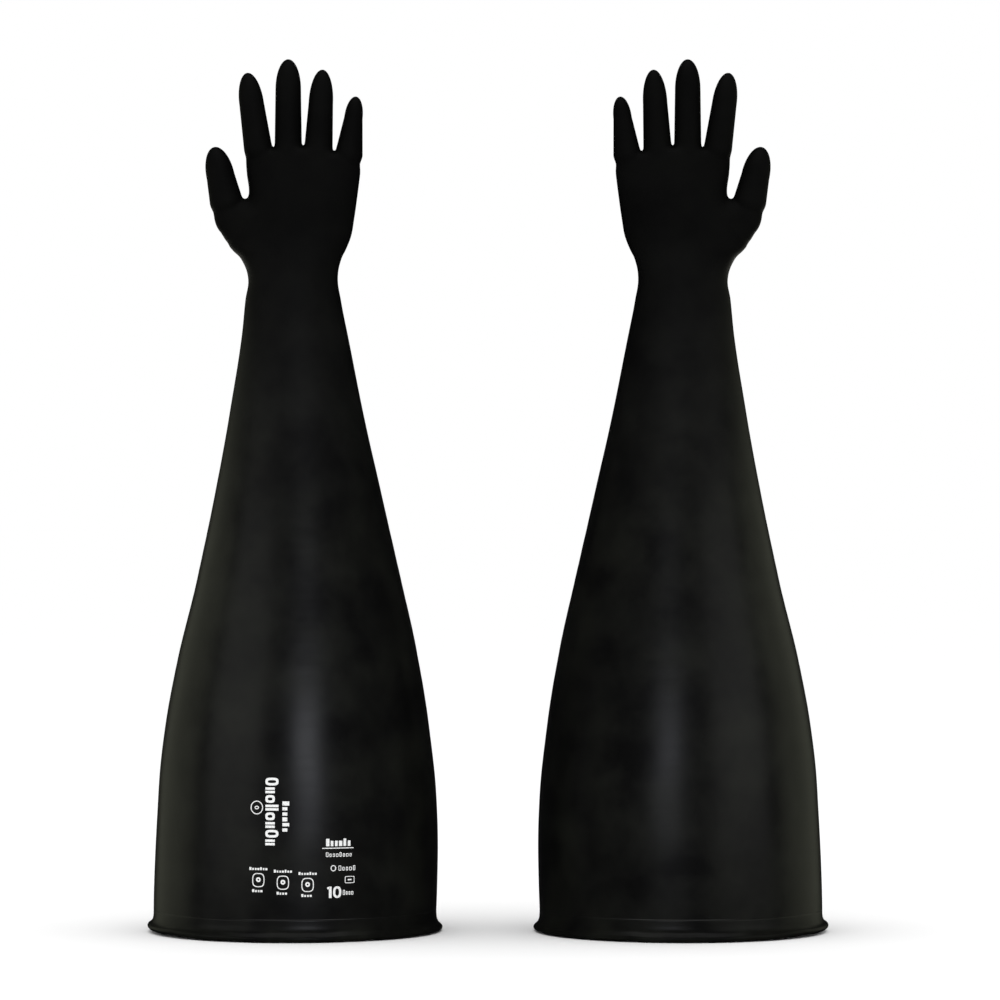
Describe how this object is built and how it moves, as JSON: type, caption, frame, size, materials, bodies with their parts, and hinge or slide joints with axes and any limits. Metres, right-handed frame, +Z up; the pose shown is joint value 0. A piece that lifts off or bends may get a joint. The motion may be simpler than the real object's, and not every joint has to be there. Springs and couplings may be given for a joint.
{
  "type": "glovebox gauntlets",
  "caption": "Long black rubber glovebox gauntlets, left and right, with sleeves that flare to round beaded cuffs and plain white print marks.",
  "frame": {"origin": "on the table, midway between the two cuffs' axes", "axes": "+Z up the arms from the cuffs to the fingertips, +X across the pair to the right glove, -Y to the front, the palm side"},
  "size_m": [0.6356, 0.2746, 0.813],
  "materials": {
    "neoprene": "satin",
    "ink": "matte"
  },
  "bodies": {
    "left_cuff": {"left_cuff_bead": "neoprene", "left_sleeve": "neoprene", "left_elbow_fold": "neoprene", "left_print": "ink"},
    "left_forearm": {"left_forearm": "neoprene", "left_wrist_fold": "neoprene"},
    "left_palm": {"left_palm": "neoprene", "left_thumb_root_fold": "neoprene", "left_index_root_fold": "neoprene", "left_middle_root_fold": "neoprene", "left_ring_root_fold": "neoprene", "left_little_root_fold": "neoprene"},
    "left_thumb_base": {"left_thumb_base": "neoprene", "left_thumb_joint_fold": "neoprene"},
    "left_thumb_tip": {"left_thumb_tip": "neoprene"},
    "left_index_base": {"left_index_base": "neoprene", "left_index_joint_fold": "neoprene"},
    "left_index_tip": {"left_index_tip": "neoprene"},
    "left_middle_base": {"left_middle_base": "neoprene", "left_middle_joint_fold": "neoprene"},
    "left_middle_tip": {"left_middle_tip": "neoprene"},
    "left_ring_base": {"left_ring_base": "neoprene", "left_ring_joint_fold": "neoprene"},
    "left_ring_tip": {"left_ring_tip": "neoprene"},
    "left_little_base": {"left_little_base": "neoprene", "left_little_joint_fold": "neoprene"},
    "left_little_tip": {"left_little_tip": "neoprene"},
    "right_cuff": {"right_cuff_bead": "neoprene", "right_sleeve": "neoprene", "right_elbow_fold": "neoprene", "right_print": "ink"},
    "right_forearm": {"right_forearm": "neoprene", "right_wrist_fold": "neoprene"},
    "right_palm": {"right_palm": "neoprene", "right_thumb_root_fold": "neoprene", "right_index_root_fold": "neoprene", "right_middle_root_fold": "neoprene", "right_ring_root_fold": "neoprene", "right_little_root_fold": "neoprene"},
    "right_thumb_base": {"right_thumb_base": "neoprene", "right_thumb_joint_fold": "neoprene"},
    "right_thumb_tip": {"right_thumb_tip": "neoprene"},
    "right_index_base": {"right_index_base": "neoprene", "right_index_joint_fold": "neoprene"},
    "right_index_tip": {"right_index_tip": "neoprene"},
    "right_middle_base": {"right_middle_base": "neoprene", "right_middle_joint_fold": "neoprene"},
    "right_middle_tip": {"right_middle_tip": "neoprene"},
    "right_ring_base": {"right_ring_base": "neoprene", "right_ring_joint_fold": "neoprene"},
    "right_ring_tip": {"right_ring_tip": "neoprene"},
    "right_little_base": {"right_little_base": "neoprene", "right_little_joint_fold": "neoprene"},
    "right_little_tip": {"right_little_tip": "neoprene"}
  },
  "joints": [
    {"name": "left_elbow", "type": "hinge", "parent": "left_cuff", "child": "left_forearm", "pos_m": [-0.1763, 0, 0.336], "axis": [1, 0, 0], "range_deg": [-30, 45], "stiffness_Nm_per_rad": 3, "deforming": ["left_elbow_fold"]},
    {"name": "left_wrist", "type": "hinge", "parent": "left_forearm", "child": "left_palm", "pos_m": [-0.1819, 0, 0.612], "axis": [1, 0, 0], "range_deg": [-60, 60], "stiffness_Nm_per_rad": 0.5, "deforming": ["left_wrist_fold"]},
    {"name": "left_thumb_root", "type": "hinge", "parent": "left_palm", "child": "left_thumb_base", "pos_m": [-0.24586, 0, 0.69046], "axis": [0.8455, 0.5, 0.1874], "range_deg": [-10, 45], "stiffness_Nm_per_rad": 0.05, "deforming": ["left_thumb_root_fold"]},
    {"name": "left_thumb_joint", "type": "hinge", "parent": "left_thumb_base", "child": "left_thumb_tip", "pos_m": [-0.25019, 0, 0.70999], "axis": [0.8455, 0.5, 0.1874], "range_deg": [0, 40], "stiffness_Nm_per_rad": 0.03, "deforming": ["left_thumb_joint_fold"]},
    {"name": "left_index_root", "type": "hinge", "parent": "left_palm", "child": "left_index_base", "pos_m": [-0.21645, 0, 0.74297], "axis": [0.9898, 0, 0.1426], "range_deg": [-15, 65], "stiffness_Nm_per_rad": 0.05, "deforming": ["left_index_root_fold"]},
    {"name": "left_index_joint", "type": "hinge", "parent": "left_index_base", "child": "left_index_tip", "pos_m": [-0.22045, 0, 0.77068], "axis": [0.9898, 0, 0.1426], "range_deg": [0, 65], "stiffness_Nm_per_rad": 0.03, "deforming": ["left_index_joint_fold"]},
    {"name": "left_middle_root", "type": "hinge", "parent": "left_palm", "child": "left_middle_base", "pos_m": [-0.1864, 0, 0.7446], "axis": [1, 0, 0], "range_deg": [-15, 65], "stiffness_Nm_per_rad": 0.05, "deforming": ["left_middle_root_fold"]},
    {"name": "left_middle_joint", "type": "hinge", "parent": "left_middle_base", "child": "left_middle_tip", "pos_m": [-0.1864, 0, 0.7756], "axis": [1, 0, 0], "range_deg": [0, 65], "stiffness_Nm_per_rad": 0.03, "deforming": ["left_middle_joint_fold"]},
    {"name": "left_ring_root", "type": "hinge", "parent": "left_palm", "child": "left_ring_base", "pos_m": [-0.15746, 0, 0.74428], "axis": [0.9986, 0, -0.0523], "range_deg": [-15, 65], "stiffness_Nm_per_rad": 0.05, "deforming": ["left_ring_root_fold"]},
    {"name": "left_ring_joint", "type": "hinge", "parent": "left_ring_base", "child": "left_ring_tip", "pos_m": [-0.15608, 0, 0.77074], "axis": [0.9986, 0, -0.0523], "range_deg": [0, 65], "stiffness_Nm_per_rad": 0.03, "deforming": ["left_ring_joint_fold"]},
    {"name": "left_little_root", "type": "hinge", "parent": "left_palm", "child": "left_little_base", "pos_m": [-0.12844, 0, 0.73542], "axis": [0.9923, 0, -0.1236], "range_deg": [-15, 55], "stiffness_Nm_per_rad": 0.05, "deforming": ["left_little_root_fold"]},
    {"name": "left_little_joint", "type": "hinge", "parent": "left_little_base", "child": "left_little_tip", "pos_m": [-0.12585, 0, 0.75626], "axis": [0.9923, 0, -0.1236], "range_deg": [0, 55], "stiffness_Nm_per_rad": 0.03, "deforming": ["left_little_joint_fold"]},
    {"name": "gloves_apart", "type": "slide", "parent": "left_cuff", "child": "right_cuff", "axis": [1, 0, 0], "range_m": [0, 0.3]},
    {"name": "right_elbow", "type": "hinge", "parent": "right_cuff", "child": "right_forearm", "pos_m": [0.1763, 0, 0.336], "axis": [1, 0, 0], "range_deg": [-30, 45], "stiffness_Nm_per_rad": 3, "deforming": ["right_elbow_fold"]},
    {"name": "right_wrist", "type": "hinge", "parent": "right_forearm", "child": "right_palm", "pos_m": [0.1819, 0, 0.612], "axis": [1, 0, 0], "range_deg": [-60, 60], "stiffness_Nm_per_rad": 0.5, "deforming": ["right_wrist_fold"]},
    {"name": "right_thumb_root", "type": "hinge", "parent": "right_palm", "child": "right_thumb_base", "pos_m": [0.24586, 0, 0.69046], "axis": [0.8455, -0.5, -0.1874], "range_deg": [-10, 45], "stiffness_Nm_per_rad": 0.05, "deforming": ["right_thumb_root_fold"]},
    {"name": "right_thumb_joint", "type": "hinge", "parent": "right_thumb_base", "child": "right_thumb_tip", "pos_m": [0.25019, 0, 0.70999], "axis": [0.8455, -0.5, -0.1874], "range_deg": [0, 40], "stiffness_Nm_per_rad": 0.03, "deforming": ["right_thumb_joint_fold"]},
    {"name": "right_index_root", "type": "hinge", "parent": "right_palm", "child": "right_index_base", "pos_m": [0.21645, 0, 0.74297], "axis": [0.9898, 0, -0.1426], "range_deg": [-15, 65], "stiffness_Nm_per_rad": 0.05, "deforming": ["right_index_root_fold"]},
    {"name": "right_index_joint", "type": "hinge", "parent": "right_index_base", "child": "right_index_tip", "pos_m": [0.22045, 0, 0.77068], "axis": [0.9898, 0, -0.1426], "range_deg": [0, 65], "stiffness_Nm_per_rad": 0.03, "deforming": ["right_index_joint_fold"]},
    {"name": "right_middle_root", "type": "hinge", "parent": "right_palm", "child": "right_middle_base", "pos_m": [0.1864, 0, 0.7446], "axis": [1, 0, 0], "range_deg": [-15, 65], "stiffness_Nm_per_rad": 0.05, "deforming": ["right_middle_root_fold"]},
    {"name": "right_middle_joint", "type": "hinge", "parent": "right_middle_base", "child": "right_middle_tip", "pos_m": [0.1864, 0, 0.7756], "axis": [1, 0, 0], "range_deg": [0, 65], "stiffness_Nm_per_rad": 0.03, "deforming": ["right_middle_joint_fold"]},
    {"name": "right_ring_root", "type": "hinge", "parent": "right_palm", "child": "right_ring_base", "pos_m": [0.15746, 0, 0.74428], "axis": [0.9986, 0, 0.0523], "range_deg": [-15, 65], "stiffness_Nm_per_rad": 0.05, "deforming": ["right_ring_root_fold"]},
    {"name": "right_ring_joint", "type": "hinge", "parent": "right_ring_base", "child": "right_ring_tip", "pos_m": [0.15608, 0, 0.77074], "axis": [0.9986, 0, 0.0523], "range_deg": [0, 65], "stiffness_Nm_per_rad": 0.03, "deforming": ["right_ring_joint_fold"]},
    {"name": "right_little_root", "type": "hinge", "parent": "right_palm", "child": "right_little_base", "pos_m": [0.12844, 0, 0.73542], "axis": [0.9923, 0, 0.1236], "range_deg": [-15, 55], "stiffness_Nm_per_rad": 0.05, "deforming": ["right_little_root_fold"]},
    {"name": "right_little_joint", "type": "hinge", "parent": "right_little_base", "child": "right_little_tip", "pos_m": [0.12585, 0, 0.75626], "axis": [0.9923, 0, 0.1236], "range_deg": [0, 55], "stiffness_Nm_per_rad": 0.03, "deforming": ["right_little_joint_fold"]}
  ]
}
